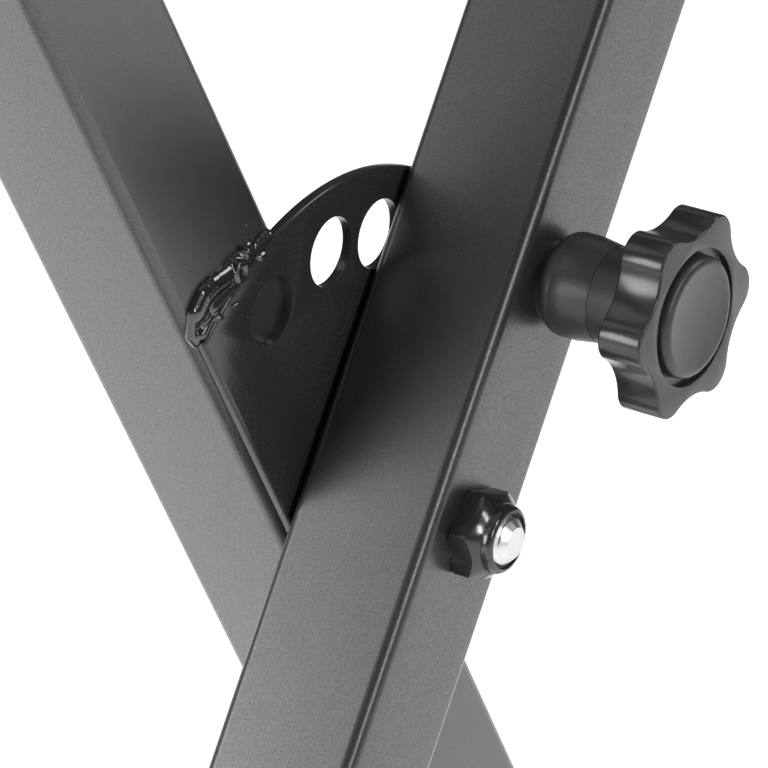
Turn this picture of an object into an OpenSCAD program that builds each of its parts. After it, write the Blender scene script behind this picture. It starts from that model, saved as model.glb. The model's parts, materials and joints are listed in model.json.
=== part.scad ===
// Folding keyboard stand: two crossed legs of square tube turn on one bolt, and a
// pull knob's pin in the front leg enters a half-round plate welded to the rear leg.
// Millimetres, Z up, X along the keyboard, knob side towards -Y, floor at Z = 0.

/* [Square tube] */
// Side of the square tube that legs and bars are cut from
tube_w = 30; // [25:1:35]
// Wall of the tube
tube_wall = 1.5; // [1.2:0.1:2]
// Outer corner radius of the tube
tube_corner_r = 2.5; // [2.2:0.1:4]

/* [Legs] */
// Leg length on each side of the pivot bolt
leg_half = 475; // [400:5:520]
// Hole of the plate that the stand is set to, counted from the folded end
set_hole = 3; // [1:1:4]
// Angles between the legs that the plate's holes give, the first for storage
lock_angles = [5, 28.4, 46.9, 64.5, 84.5, 104.5]; // [5:0.1:110]

/* [Crossbars] */
// Length of an upper arm's tube
arm_len = 340; // [300:10:420]
// Length of a floor bar's tube
foot_len = 430; // [360:10:480]
// Thickness of the flange
flange_t = 3; // [2:0.5:5]
// Corner radius of the flange
flange_corner_r = 5; // [3:0.5:8]
// Distance from a flange's screw to the flange's end
flange_edge = 9.5; // [8:0.5:14]
// Free space between a flange screw's washer and the leg's weld bead
flange_side_gap = 1; // [0.5:0.1:4]

/* [Caps and grips] */
// Rubber wall of an end cap around the tube
cap_wall = 3; // [2:0.25:3.25]
// Length of tube that an end cap covers
cap_cover = 37; // [25:1:50]
// Rubber beyond the end of the tube
cap_end_t = 5; // [3:0.5:8]
// Outer corner radius of an end cap
cap_corner_r = 6; // [4.5:0.5:8]
// Rounding of an end cap's closed end
cap_round_r = 3.5; // [1:0.5:4]
// Rubber wall of a grip sleeve
grip_wall = 2; // [1.5:0.25:2.5]
// Bare tube left beside each end of a grip sleeve
grip_gap = 6; // [3:0.5:15]

/* [Lock plate] */
// Thickness of the plate
plate_t = 2; // [1.5:0.25:3]
// Metal between a lock hole and the plate's round edge
plate_rim = 6.3; // [4:0.1:12]
// Distance of the plate's straight edge inside the rear leg's side
plate_inset = 1.4; // [0.5:0.1:2.5]
// Radius of the circle that the lock holes lie on
lock_r = 49.7; // [48:0.1:51]
// Diameter of a lock hole
lock_hole_d = 13.6; // [12:0.1:14.5]
// Leg of the flange welds, and height of the plate's weld beads above the rear leg
bead_w = 2.4; // [1.5:0.1:2.6]
// Width of the plate's weld beads on the rear leg
weld_reach = 5.5; // [3:0.5:6]

/* [Pivot] */
// Diameter of the pivot bolt
bolt_d = 10; // [8:1:12]
// Diameter of the bolt's button head
bolt_head_d = 17.5; // [15:0.5:20]
// Height of the button head
bolt_head_h = 5.5; // [4:0.1:7]
// Height of the button head's rim
bolt_rim_h = 1.2; // [0.5:0.1:2]
// Width of the head's hexagon socket across flats
bolt_socket_af = 6; // [4:0.5:8]
// Depth of the socket
bolt_socket_depth = 3.1; // [2:0.1:3.5]
// Width of the pivot nut across flats
nut_af = 16; // [15:0.5:18]
// Height of the nut's hexagon
nut_hex_h = 6.2; // [5:0.1:8]
// Height of the nut's round collar above its hexagon
nut_collar_h = 2; // [1.8:0.1:4]
// Wall of the nut's collar
nut_collar_wall = 0.9; // [0.8:0.1:1.6]
// Wall of the plastic ring in the nut's collar
nut_insert_wall = 0.7; // [0.5:0.1:1.2]
// Height of the plastic ring
nut_insert_h = 1.4; // [1:0.1:1.7]
// Rounding of the collar's rim
nut_round_r = 1.2; // [0.5:0.1:1.3]
// Length of bolt that stands out of the nut
bolt_out = 1.5; // [0.5:0.1:3]
// Turn of the nut on its bolt, in degrees
nut_turn = 16; // [0:1:59]
// Outer diameter of the sleeves around the bolt
sleeve_d = 16; // [15:0.5:20]
// Thickness of the plastic washer between the legs
spacer_t = 1; // [0.5:0.1:2]
// Outer diameter of the plastic washer
spacer_d = 24; // [20:1:28]
// Thickness of the steel washer under the bolt's head
head_washer_t = 1.6; // [1:0.1:2.5]
// Outer diameter of the steel washer
head_washer_d = 21; // [20:0.5:26]

/* [Lock pin] */
// Diameter of the lock pin
pin_d = 10.6; // [9:0.1:11]
// Travel of the lock pin
pin_travel = 8; // [6:0.5:8]
// Chamfer of the pin's tip
pin_chamfer = 0.5; // [0.3:0.1:1]
// Diameter of the spindle between pin and knob
spindle_d = 6; // [5:0.5:6.5]
// Wall of the guide barrel
barrel_wall = 1.6; // [1.2:0.1:2]
// Length of the barrel outside the leg
barrel_out = 13; // [12:0.5:13]
// Thickness of the barrel's front lip
barrel_lip = 2; // [1.5:0.1:2.5]
// Thickness of the barrel's flange
barrel_flange_t = 1.4; // [1:0.1:2]
// Outer diameter of the barrel's flange
barrel_flange_d = 16; // [15.5:0.1:16.4]
// Width of the barrel's nut across flats
barrel_nut_af = 20; // [18:0.5:22]
// Height of the barrel's nut
barrel_nut_h = 4; // [3:0.5:5]
// Length of the guide bush on the leg's rear wall
bush_len = 6; // [4:0.5:8]
// Wall of the guide bush
bush_wall = 2.6; // [1.5:0.1:4]
// Wire of the lock spring
spring_wire = 1; // [0.8:0.1:1.1]
// Turns of the lock spring
spring_turns = 5; // [4:1:5]

/* [Knob] */
// Outer diameter of the shroud around the knob's hub
shroud_d = 20.2; // [20:0.1:21]
// Wall of the shroud above its rounded base
shroud_wall = 0.7; // [0.5:0.05:0.8]
// Wall of the shroud at its thin front edge
shroud_edge = 0.25; // [0.15:0.05:0.4]
// Floor of the shroud, which the barrel's flange holds on the leg
shroud_floor_t = 1.4; // [1.2:0.1:2]
// Diameter of the shroud's foot on the leg
shroud_foot_d = 15.6; // [15:0.1:17]
// Height of the foot
shroud_foot_h = 0.8; // [0.4:0.1:1]
// Rounding between the foot and the shroud's wall
shroud_round_r = 3.5; // [2:0.1:3.6]
// Length of hub that the shroud still covers while the pin is drawn
shroud_lap = 1.1; // [0.8:0.1:2]
// Free space between shroud and star while the pin is in a hole
star_gap = 1.1; // [0.5:0.1:4]
// Thickness of the knob's star
star_t = 9.1; // [8:0.1:12]
// Outer diameter over the star's lobes
star_d = 39.6; // [36:0.1:42]
// Depth of the valleys between the lobes
star_depth = 3.6; // [3:0.1:5]
// Radius of a lobe's round end
star_lobe_r = 5; // [4:0.1:6]
// Number of lobes
star_lobes = 6; // [5:1:8]
// Turn of the star about the lock's axis, in degrees
star_turn = 4; // [0:1:59]
// Rounding of the lobes' outer edges
star_round_r = 0.5; // [0.3:0.1:2]
// Width of the flat between the star's valleys and its round recess
recess_rim = 2.9; // [1.2:0.1:4]
// Depth of the recess
recess_depth = 1.6; // [1:0.1:2]
// Width of the groove around the knob's cap
recess_groove = 1.5; // [0.5:0.1:2]
// Thickness of the cap at its rim
cap_disc_t = 2.7; // [1.8:0.1:3.5]
// Rounding of the cap's rim
cap_rim_r = 1.6; // [0.4:0.1:1.7]
// Depth of the dish in the cap
cap_dish = 0.9; // [0.3:0.1:1]
// Wall of the knob's threaded insert
insert_wall = 1.5; // [1:0.1:2]
// Plastic between the threaded insert and the recess
insert_floor = 0.9; // [0.5:0.1:2]

/* [Bar screws] */
// Diameter of a screw
screw_d = 8; // [6:1:8]
// Width of a screw's head and nut across flats
screw_af = 13; // [10:0.5:13]
// Height of a screw's head
screw_head_h = 5.3; // [4:0.1:6]
// Length of a screw under its head
screw_len = 16; // [14:1:20]
// Height of a screw's nut
screw_nut_h = 6.5; // [5:0.1:7]
// Outer diameter of a screw's washer
screw_washer_d = 16; // [14:0.5:16]
// Thickness of a screw's washer
screw_washer_t = 1.6; // [1:0.1:2]

/* [Fits] */
// Radial gap of a part that turns or slides in its bore
run_fit = 0.08; // [0.02:0.01:0.1]
// Axial gap beside a washer that turns
turn_gap = 0.05; // [0.02:0.01:0.2]
// Radial gap of a part that stays in its seat
seat_gap = 0.05; // [0.02:0.01:0.2]
// Radial gap around a screw in its clearance hole
screw_gap = 0.3; // [0.1:0.1:0.5]
// Free space between parts that never touch
free_gap = 0.4; // [0.2:0.05:0.5]

/* [Hidden] */
$fn = 64;

// Each leg leans by half the angle between the legs
leg_tilt = lock_angles[set_hole] / 2;
// Space between the two legs' facing sides
leg_gap = plate_t + spacer_t + turn_gap;
// The legs stand either side of the plane Y = 0
leg_y = (leg_gap + tube_w) / 2;
front_face_y = -leg_y - tube_w / 2;
rear_leg_face_y = leg_gap / 2;
// Centre of a crossbar, from the pivot along its leg
bar_r = leg_half + flange_t + tube_w / 2;
// A flange's screws stand clear of the leg that it is welded on
flange_screw_y = leg_y + tube_w / 2 + bead_w + flange_side_gap + screw_washer_d / 2;
flange_len = 2 * (flange_screw_y + flange_edge);
// A grip sleeve fills the arm between flange and cap
grip_from = flange_len / 2 + grip_gap;
grip_to = arm_len / 2 - cap_cover - grip_gap;
// The stand rests on the rounded lower edges of its floor bars' caps
cap_w = tube_w + 2 * cap_wall;
cap_rest = (cap_w / 2 - cap_corner_r) * (cos(leg_tilt) + sin(leg_tilt)) + cap_corner_r;
pivot_h = bar_r * cos(leg_tilt) + cap_rest;
// Every cut runs past its faces by this much
overrun = tube_wall;

// The plate is a disc about the pivot, cut straight just inside the rear leg's side
plate_r = lock_r + lock_hole_d / 2 + plate_rim;
plate_edge = tube_w / 2 - plate_inset;

// Diameters on the lock's axis
barrel_d = pin_d + 2 * (run_fit + barrel_wall);
hub_d = shroud_d - 2 * (shroud_wall + run_fit);
hub_bore_d = barrel_d + 2 * free_gap;
insert_d = spindle_d + 2 * (seat_gap + insert_wall);
// Heights on the lock's axis, outwards from the front leg's face. The pin in a hole stops
// just short of the rear leg, which isn't drilled behind the plate's first hole.
tip_s = pin_travel + free_gap - tube_w - leg_gap;
barrel_in = pin_travel + free_gap;
shoulder_s = shroud_floor_t;
flange_top_s = shroud_floor_t + barrel_flange_t;
hub_back_s = flange_top_s + pin_travel + free_gap;
shroud_len = hub_back_s + shroud_lap;
hub_len = shroud_len + pin_travel + star_gap;
bore_end_s = barrel_out + pin_travel + free_gap;
recess_s = hub_len + star_t - recess_depth;
insert_len = recess_s - insert_floor - bore_end_s;
spring_r = (pin_d - spring_wire) / 2 - free_gap / 2;
spring_from_s = shoulder_s + spring_wire / 2 + turn_gap;
spring_to_s = barrel_out - barrel_lip - spring_wire / 2 - turn_gap;

// The star's valleys are arcs a little wider than those that would only touch the lobes
valley_share = 1.02;
star_half_step = 180 / star_lobes;
star_lobe_place = star_d / 2 - star_lobe_r;
valley_floor_r = star_d / 2 - star_depth;
valley_r = valley_share * (pow(star_lobe_place, 2) + pow(valley_floor_r, 2) - pow(star_lobe_r, 2)
    - 2 * star_lobe_place * valley_floor_r * cos(star_half_step))
    / (2 * (star_lobe_r - valley_floor_r + star_lobe_place * cos(star_half_step)));
recess_d = 2 * (valley_floor_r - recess_rim);
cap_disc_d = recess_d - 2 * recess_groove;
// Seat of the plastic ring in the pivot nut
nut_ring_d = bolt_d + 2 * (seat_gap + nut_insert_wall);

// Shares of a hexagon's width at which its corners are chamfered
hex_chamfer_share = 0.045;
hex_top_share = 0.95;
// Share of the bolt's diameter that its end is chamfered by
bolt_chamfer_share = 0.2;

// Frames of the two legs: Z along the leg, origin at the pivot
module front_leg_frame() translate([0, 0, pivot_h]) rotate([0, leg_tilt, 0]) children();
module rear_leg_frame() translate([0, 0, pivot_h]) rotate([0, -leg_tilt, 0]) children();
// Frame on a side face of a leg: Z out of the face, Y up the leg
module on_face(y) translate([0, y, 0]) rotate([90, 0, 0]) children();
// Frame at the lock's axis on the front leg
module lock_frame() front_leg_frame() on_face(front_face_y) translate([0, lock_r, 0]) children();
// Frame at the pivot's axis on the front leg
module pivot_frame() front_leg_frame() on_face(front_face_y) children();
// Frame of a leg's end, 1 for the top and -1 for the bottom
module leg_end(end) rotate([end > 0 ? 0 : 180, 0, 0]) children();

module rounded_square(w, r) {
    square([w, w - 2 * r], center = true);
    square([w - 2 * r, w], center = true);
    for (x = [-1, 1], y = [-1, 1])
        translate([x * (w / 2 - r), y * (w / 2 - r)]) circle(r);
}

module tube_section() difference() {
    rounded_square(tube_w, tube_corner_r);
    rounded_square(tube_w - 2 * tube_wall, tube_corner_r - tube_wall);
}

module ring(h, d, bore) difference() {
    cylinder(h = h, d = d);
    translate([0, 0, -overrun]) cylinder(h = h + 2 * overrun, d = bore);
}

// Hexagon with its upper corners chamfered
module hex_block(af, h) intersection() {
    cylinder(h = h, d = af / cos(30), $fn = 6);
    rotate_extrude()
        polygon([[0, 0], [af / 2 / cos(30), 0], [af / 2 / cos(30), h - af * hex_chamfer_share],
            [af / 2 * hex_top_share, h], [0, h]]);
}

module leg_blank() translate([0, 0, -leg_half]) linear_extrude(2 * leg_half) tube_section();

// Holes through a leg for the pivot: d1 in the front wall, d2 in the rear wall
module pivot_holes(d1, d2) {
    rotate([90, 0, 0]) cylinder(h = tube_w / 2 + overrun, d = d1);
    rotate([-90, 0, 0]) cylinder(h = tube_w / 2 + overrun, d = d2);
}

module front_leg_tube() color("dimgray") front_leg_frame() translate([0, -leg_y, 0]) difference() {
    leg_blank();
    pivot_holes(bolt_d + 2 * seat_gap, bolt_d + 2 * seat_gap);
    translate([0, 0, lock_r]) pivot_holes(barrel_d + 2 * seat_gap, pin_d + 2 * run_fit);
}

module rear_leg_tube() color("dimgray") rear_leg_frame() translate([0, leg_y, 0]) difference() {
    leg_blank();
    pivot_holes(sleeve_d + 2 * seat_gap, sleeve_d + 2 * seat_gap);
}

// Flange across the end of a leg, drilled for the bar's two screws
module flange() translate([0, 0, leg_half]) linear_extrude(flange_t) difference() {
    union() {
        square([tube_w, flange_len - 2 * flange_corner_r], center = true);
        square([tube_w - 2 * flange_corner_r, flange_len], center = true);
        for (x = [-1, 1], y = [-1, 1])
            translate([x * (tube_w / 2 - flange_corner_r), y * (flange_len / 2 - flange_corner_r)])
                circle(flange_corner_r);
    }
    for (y = [-1, 1]) translate([0, y * flange_screw_y]) circle(d = screw_d + 2 * screw_gap);
}

module front_leg_flanges() color("dimgray") front_leg_frame() for (end = [-1, 1]) leg_end(end) flange();
module rear_leg_flanges() color("dimgray") rear_leg_frame() for (end = [-1, 1]) leg_end(end) flange();

// Fillet welds between a leg's ends and its flanges, for a leg in the plane of y
module flange_welds(y) translate([0, y, 0]) for (end = [0, 180], side = [0, 180])
    rotate([0, end, side]) translate([0, tube_w / 2, leg_half]) rotate([90, 0, 90])
        linear_extrude(tube_w - 2 * tube_corner_r, center = true) intersection() {
            circle(bead_w);
            translate([0, -bead_w]) square(bead_w);
        }

module front_flange_welds() color("#2b2b2b") front_leg_frame() flange_welds(-leg_y);
module rear_flange_welds() color("#2b2b2b") rear_leg_frame() flange_welds(leg_y);

// Crossbar on a leg's end, drilled on the flange's side
module bar(len) difference() {
    translate([0, 0, bar_r]) rotate([90, 0, 0]) linear_extrude(len, center = true) tube_section();
    for (y = [-1, 1]) translate([0, y * flange_screw_y, leg_half + flange_t - overrun])
        cylinder(h = tube_w / 2, d = screw_d + 2 * screw_gap);
}

module right_arm_tube() color("dimgray") front_leg_frame() leg_end(1) bar(arm_len);
module left_foot_tube() color("dimgray") front_leg_frame() leg_end(-1) bar(foot_len);
module left_arm_tube() color("dimgray") rear_leg_frame() leg_end(1) bar(arm_len);
module right_foot_tube() color("dimgray") rear_leg_frame() leg_end(-1) bar(foot_len);

// Side view of an end cap: square at its mouth, rounded at its closed end
module cap_side() {
    depth = cap_cover + cap_end_t;
    translate([0, -cap_w / 2]) square([depth - cap_round_r, cap_w]);
    translate([0, cap_round_r - cap_w / 2]) square([depth, cap_w - 2 * cap_round_r]);
    for (y = [-1, 1]) translate([depth - cap_round_r, y * (cap_w / 2 - cap_round_r)]) circle(cap_round_r);
}

// End cap with its mouth at the origin and its closed end towards +X
module end_cap() difference() {
    intersection() {
        rotate([90, 0, 90]) linear_extrude(cap_cover + cap_end_t) rounded_square(cap_w, cap_corner_r);
        linear_extrude(cap_w, center = true) cap_side();
        rotate([90, 0, 0]) linear_extrude(cap_w, center = true) cap_side();
    }
    translate([-overrun, 0, 0]) rotate([90, 0, 90])
        linear_extrude(cap_cover + overrun) rounded_square(tube_w + 2 * seat_gap, tube_corner_r);
}

module bar_caps(len) translate([0, 0, bar_r]) for (turn = [-90, 90])
    rotate([0, 0, turn]) translate([len / 2 - cap_cover, 0, 0]) end_cap();

module right_arm_caps() color("#1c1c1c") front_leg_frame() leg_end(1) bar_caps(arm_len);
module left_foot_caps() color("#1c1c1c") front_leg_frame() leg_end(-1) bar_caps(foot_len);
module left_arm_caps() color("#1c1c1c") rear_leg_frame() leg_end(1) bar_caps(arm_len);
module right_foot_caps() color("#1c1c1c") rear_leg_frame() leg_end(-1) bar_caps(foot_len);

// Rubber sleeves that the keyboard lies on
module bar_grips() translate([0, 0, bar_r]) for (turn = [-90, 90])
    rotate([90, 0, turn + 90]) translate([0, 0, grip_from]) linear_extrude(grip_to - grip_from) difference() {
        rounded_square(tube_w + 2 * grip_wall, tube_corner_r + grip_wall);
        rounded_square(tube_w + 2 * seat_gap, tube_corner_r);
    }

module right_arm_grips() color("#1c1c1c") front_leg_frame() leg_end(1) bar_grips();
module left_arm_grips() color("#1c1c1c") rear_leg_frame() leg_end(1) bar_grips();

// Places of a leg's four bar screws, Z outwards along the leg
module at_bar_screws() for (end = [-1, 1], y = [-1, 1])
    leg_end(end) translate([0, y * flange_screw_y, 0]) children();

module bar_screws() at_bar_screws() translate([0, 0, leg_half - screw_washer_t]) {
    mirror([0, 0, 1]) hex_block(screw_af, screw_head_h);
    cylinder(h = screw_len, d = screw_d);
}

module bar_washers() at_bar_screws() translate([0, 0, leg_half - screw_washer_t])
    ring(screw_washer_t, screw_washer_d, screw_d + 2 * seat_gap);

module bar_nuts() at_bar_screws() translate([0, 0, leg_half + flange_t + tube_wall])
    difference() {
        hex_block(screw_af, screw_nut_h);
        translate([0, 0, -overrun]) cylinder(h = screw_nut_h + 2 * overrun, d = screw_d + 2 * seat_gap);
    }

module front_bar_screws() color("silver") front_leg_frame() bar_screws();
module front_bar_washers() color("silver") front_leg_frame() bar_washers();
module front_bar_nuts() color("silver") front_leg_frame() bar_nuts();
module rear_bar_screws() color("silver") rear_leg_frame() bar_screws();
module rear_bar_washers() color("silver") rear_leg_frame() bar_washers();
module rear_bar_nuts() color("silver") rear_leg_frame() bar_nuts();

// Half-round plate on the rear leg: a disc cut straight along the leg's edge,
// with a ring of holes that the lock pin enters
module lock_plate() color("#2b2b2b") rear_leg_frame() on_face(rear_leg_face_y)
    linear_extrude(plate_t) difference() {
        intersection() {
            circle(plate_r);
            translate([-plate_edge, -plate_r]) square([plate_r + plate_edge, 2 * plate_r]);
        }
        circle(d = bolt_d + 2 * screw_gap);
        for (a = lock_angles) rotate(-a) translate([0, lock_r]) circle(d = lock_hole_d);
    }

// Fillet welds where the plate's round edge crosses the rear leg
module plate_weld_beads() color("#2b2b2b") rear_leg_frame() on_face(rear_leg_face_y) {
    half = asin((tube_w / 2 - tube_corner_r) / (plate_r + weld_reach));
    crown_r = (pow(weld_reach, 2) + pow(bead_w, 2)) / (2 * bead_w);
    for (side = [90, 270]) rotate(side - half) rotate_extrude(angle = 2 * half)
        translate([plate_r, 0]) intersection() {
            translate([0, bead_w - crown_r]) circle(crown_r);
            square(crown_r);
        }
}

// Sleeve welded through the rear leg, the bearing that the pivot bolt turns in
module rear_pivot_sleeve() color("gray") rear_leg_frame() on_face(leg_y + tube_w / 2)
    ring(tube_w, sleeve_d, bolt_d + 2 * run_fit);

// Sleeve inside the front leg that keeps the nut from crushing the tube
module front_pivot_sleeve() color("gray") pivot_frame() translate([0, 0, tube_wall - tube_w])
    ring(tube_w - 2 * tube_wall, sleeve_d, bolt_d + 2 * seat_gap);

// Domed head with a hexagon socket, on the far side of the plane Z = 0
module button_head() mirror([0, 0, 1]) difference() {
    dome_h = bolt_head_h - bolt_rim_h;
    dome_r = (pow(bolt_head_d / 2, 2) + pow(dome_h, 2)) / (2 * dome_h);
    rotate_extrude() intersection() {
        translate([0, bolt_head_h - dome_r]) circle(dome_r, $fn = 128);
        square([bolt_head_d / 2, bolt_head_h]);
    }
    translate([0, 0, bolt_head_h - bolt_socket_depth])
        cylinder(h = bolt_socket_depth + overrun, d = bolt_socket_af / cos(30), $fn = 6);
}

module pivot_bolt() color("silver") pivot_frame() {
    under_head = -2 * tube_w - leg_gap - turn_gap - head_washer_t;
    end = nut_hex_h + nut_collar_h + bolt_out;
    chamfer = bolt_d * bolt_chamfer_share;
    translate([0, 0, under_head]) {
        button_head();
        cylinder(h = end - chamfer - under_head, d = bolt_d);
    }
    translate([0, 0, end - chamfer]) cylinder(h = chamfer, d1 = bolt_d, d2 = bolt_d - 2 * chamfer);
}

module pivot_head_washer() color("silver") pivot_frame()
    translate([0, 0, -2 * tube_w - leg_gap - turn_gap - head_washer_t])
        ring(head_washer_t, head_washer_d, bolt_d + 2 * seat_gap);

module pivot_spacer_washer() color("#1c1c1c") pivot_frame() translate([0, 0, -tube_w - spacer_t])
    ring(spacer_t, spacer_d, bolt_d + 2 * seat_gap);

// Lock nut: a hexagon with a rounded collar that holds a plastic ring
module pivot_nut() color("#1c1c1c") pivot_frame() difference() {
    collar_r = nut_ring_d / 2 + nut_collar_wall;
    union() {
        rotate(nut_turn) hex_block(nut_af, nut_hex_h);
        translate([0, 0, nut_hex_h]) rotate_extrude() {
            square([collar_r, nut_collar_h - nut_round_r]);
            square([collar_r - nut_round_r, nut_collar_h]);
            translate([collar_r - nut_round_r, nut_collar_h - nut_round_r]) circle(nut_round_r);
        }
    }
    translate([0, 0, -overrun])
        cylinder(h = nut_hex_h + nut_collar_h + 2 * overrun, d = bolt_d + 2 * seat_gap);
    translate([0, 0, nut_hex_h]) cylinder(h = nut_insert_h, d = nut_ring_d);
}

module pivot_nut_insert() color("gray") pivot_frame() translate([0, 0, nut_hex_h])
    ring(nut_insert_h, nut_ring_d, bolt_d + 2 * seat_gap);

// Barrel: a flanged tube through the front leg's face, with a lip that the spring bears
// on; its flange lies in the shroud and holds the shroud's floor on the leg
module lock_barrel() color("gray") lock_frame() difference() {
    union() {
        translate([0, 0, -barrel_in]) cylinder(h = barrel_in + barrel_out, d = barrel_d);
        translate([0, 0, shroud_floor_t]) cylinder(h = barrel_flange_t, d = barrel_flange_d);
    }
    translate([0, 0, -barrel_in - overrun])
        cylinder(h = barrel_in + barrel_out - barrel_lip + overrun, d = pin_d + 2 * run_fit);
    translate([0, 0, barrel_out - barrel_lip - overrun])
        cylinder(h = barrel_lip + 2 * overrun, d = spindle_d + 2 * run_fit);
}

module lock_barrel_nut() color("gray") lock_frame() translate([0, 0, -tube_wall]) mirror([0, 0, 1])
    difference() {
        hex_block(barrel_nut_af, barrel_nut_h);
        translate([0, 0, -overrun]) cylinder(h = barrel_nut_h + 2 * overrun, d = barrel_d + 2 * seat_gap);
    }

// Bush on the inside of the front leg's rear wall, where the pin comes out
module lock_guide_bush() color("gray") lock_frame() translate([0, 0, tube_wall - tube_w])
    ring(bush_len, pin_d + 2 * (run_fit + bush_wall), pin_d + 2 * run_fit);

// Shroud: a cup around the hub on a small foot, rounded at its base, that thins
// towards the knob
module lock_shroud() color("#2b2b2b") lock_frame() rotate_extrude() difference() {
    bore_r = shroud_d / 2 - shroud_wall;
    round_s = shroud_foot_h + shroud_round_r;
    union() {
        square([shroud_foot_d / 2, round_s]);
        translate([shroud_d / 2 - shroud_round_r, round_s]) intersection() {
            circle(shroud_round_r);
            translate([0, -shroud_round_r]) square(shroud_round_r);
        }
        polygon([[0, round_s], [shroud_d / 2, round_s], [bore_r + shroud_edge, shroud_len], [0, shroud_len]]);
    }
    translate([0, -overrun]) square([barrel_d / 2 + seat_gap, shroud_floor_t + 2 * overrun]);
    translate([0, shroud_floor_t]) square([barrel_flange_d / 2 + seat_gap, barrel_flange_t + overrun]);
    translate([0, flange_top_s]) square([bore_r, shroud_len]);
}

// Spring: a wire of six sides swept along a helix by the ring of points at each step
module lock_spring() color("silver") lock_frame() {
    sides = 6;
    steps = 20 * spring_turns;
    points = [for (i = [0 : steps], k = [0 : sides - 1])
        let (turn = 360 * spring_turns * i / steps, part = 360 * k / sides,
            r = spring_r + spring_wire / 2 * cos(part),
            z = spring_from_s + (spring_to_s - spring_from_s) * i / steps + spring_wire / 2 * sin(part))
        [r * cos(turn), r * sin(turn), z]];
    walls = [for (i = [0 : steps - 1], k = [0 : sides - 1])
        let (a = i * sides + k, b = i * sides + (k + 1) % sides)
        each [[a, a + sides, b], [b, a + sides, b + sides]]];
    polyhedron(points, concat(walls, [[for (k = [0 : sides - 1]) k],
        [for (k = [sides - 1 : -1 : 0]) steps * sides + k]]));
}

// Pin drawn back into the leg, with the spindle that the knob is screwed on
module lock_pin() color("silver") lock_frame() {
    translate([0, 0, tip_s])
        cylinder(h = pin_chamfer, d1 = pin_d - 2 * pin_chamfer, d2 = pin_d);
    translate([0, 0, tip_s + pin_chamfer]) cylinder(h = shoulder_s - tip_s - pin_chamfer, d = pin_d);
    translate([0, 0, shoulder_s]) cylinder(h = bore_end_s + insert_len - shoulder_s, d = spindle_d);
}

// Outline of the star: each lobe's round end meets the arcs of the two valleys
// beside it, and a disc and a kite from the middle fill what lies under a valley
module star_outline() difference() {
    valley_place = valley_floor_r + valley_r;
    lobe = star_lobe_place * [cos(star_half_step), sin(star_half_step)];
    union() {
        circle(d = recess_d);
        for (i = [0 : star_lobes - 1]) {
            rotate(i * 2 * star_half_step) translate([star_lobe_place, 0]) circle(star_lobe_r);
            rotate((2 * i + 1) * star_half_step)
                polygon([[0, 0], [lobe[0], -lobe[1]], [valley_place, 0], lobe]);
        }
    }
    for (i = [0 : star_lobes - 1]) rotate((2 * i + 1) * star_half_step)
        translate([valley_place, 0]) circle(valley_r);
}

// Moulded knob: hub over the barrel, star with rounded lobes, recess for the cap
module knob_star() color("#1c1c1c") lock_frame() difference() {
    union() {
        translate([0, 0, hub_back_s]) cylinder(h = hub_len - hub_back_s, d = hub_d);
        intersection() {
            translate([0, 0, hub_len]) linear_extrude(star_t) rotate(90 + star_turn) star_outline();
            translate([0, 0, hub_len]) rotate_extrude() {
                translate([0, star_round_r]) square([star_d / 2, star_t - 2 * star_round_r]);
                square([star_d / 2 - star_round_r, star_t]);
                for (z = [star_round_r, star_t - star_round_r])
                    translate([star_d / 2 - star_round_r, z]) circle(star_round_r);
            }
        }
    }
    translate([0, 0, hub_back_s - overrun])
        cylinder(h = bore_end_s - hub_back_s + overrun, d = hub_bore_d);
    translate([0, 0, bore_end_s - overrun]) cylinder(h = insert_len + overrun, d = insert_d + 2 * seat_gap);
    translate([0, 0, recess_s]) cylinder(h = recess_depth + overrun, d = recess_d);
}

// Cap in the knob's recess, with a rounded rim and a shallow dish
module knob_cap() color("#3a3a3a") lock_frame() translate([0, 0, recess_s]) rotate_extrude() difference() {
    flat_r = cap_disc_d / 2 - cap_rim_r;
    dish_r = (pow(flat_r, 2) + pow(cap_dish, 2)) / (2 * cap_dish);
    union() {
        square([cap_disc_d / 2, cap_disc_t - cap_rim_r]);
        square([flat_r, cap_disc_t]);
        translate([flat_r, cap_disc_t - cap_rim_r]) intersection() {
            circle(cap_rim_r);
            square(cap_rim_r);
        }
    }
    translate([0, cap_disc_t + dish_r - cap_dish]) circle(dish_r, $fn = 400);
}

module knob_insert() color("goldenrod") lock_frame() translate([0, 0, bore_end_s])
    ring(insert_len, insert_d, spindle_d + 2 * seat_gap);

front_leg_tube();
front_leg_flanges();
front_flange_welds();
right_arm_tube();
right_arm_caps();
right_arm_grips();
left_foot_tube();
left_foot_caps();
front_bar_screws();
front_bar_washers();
front_bar_nuts();
rear_leg_tube();
rear_leg_flanges();
rear_flange_welds();
left_arm_tube();
left_arm_caps();
left_arm_grips();
right_foot_tube();
right_foot_caps();
rear_bar_screws();
rear_bar_washers();
rear_bar_nuts();
lock_plate();
plate_weld_beads();
rear_pivot_sleeve();
pivot_bolt();
pivot_head_washer();
pivot_spacer_washer();
front_pivot_sleeve();
pivot_nut();
pivot_nut_insert();
lock_barrel();
lock_barrel_nut();
lock_guide_bush();
lock_shroud();
lock_spring();
lock_pin();
knob_star();
knob_cap();
knob_insert();
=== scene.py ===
import json
import math
import random

import bpy
from mathutils import Matrix, Vector


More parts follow.
